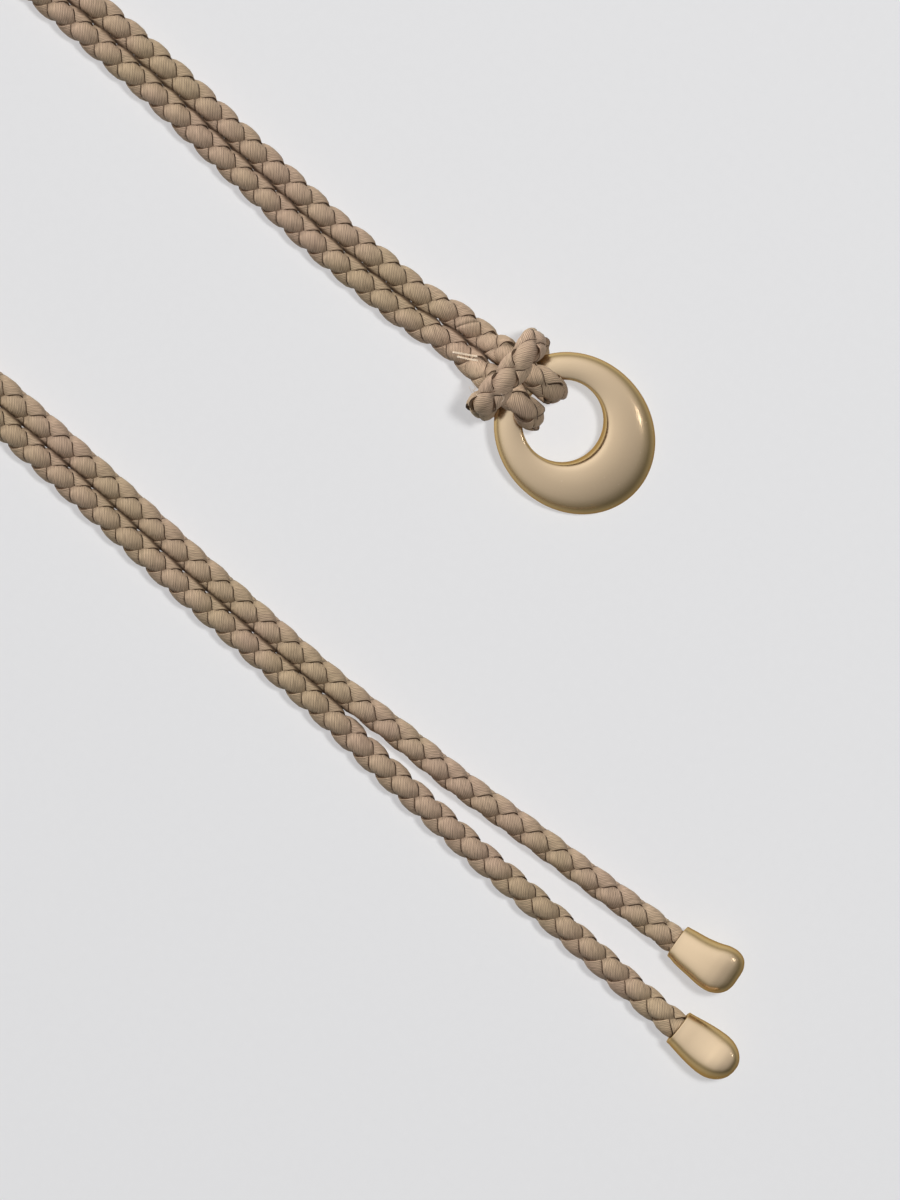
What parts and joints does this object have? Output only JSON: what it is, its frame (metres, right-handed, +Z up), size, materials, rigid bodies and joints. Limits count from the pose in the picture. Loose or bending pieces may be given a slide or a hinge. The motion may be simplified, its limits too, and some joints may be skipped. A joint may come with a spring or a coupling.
{
  "type": "woven belt",
  "caption": "Braided cord belt folded double and hitched to a crescent metal ring, with metal caps on its free ends; the tails go round the waist and through the ring.",
  "frame": {"origin": "on the table, under the middle of the whole belt's bounding box", "axes": "+X along the belt towards the ring and the caps, +Y across it from the capped side to the ringed side, +Z up from the table"},
  "size_m": [0.6128, 0.1264, 0.0226],
  "materials": {
    "cord": "four flat woven tapes braided round, matt with a faint sheen",
    "metal": "satin champagne gold plating"
  },
  "bodies": {
    "root": {"ring": "metal", "end_cap_1": "metal", "end_cap_2": "metal", "cord_hitch": "cord", "cord_run_1": "cord", "cord_run_2": "cord"}
  },
  "joints": []
}
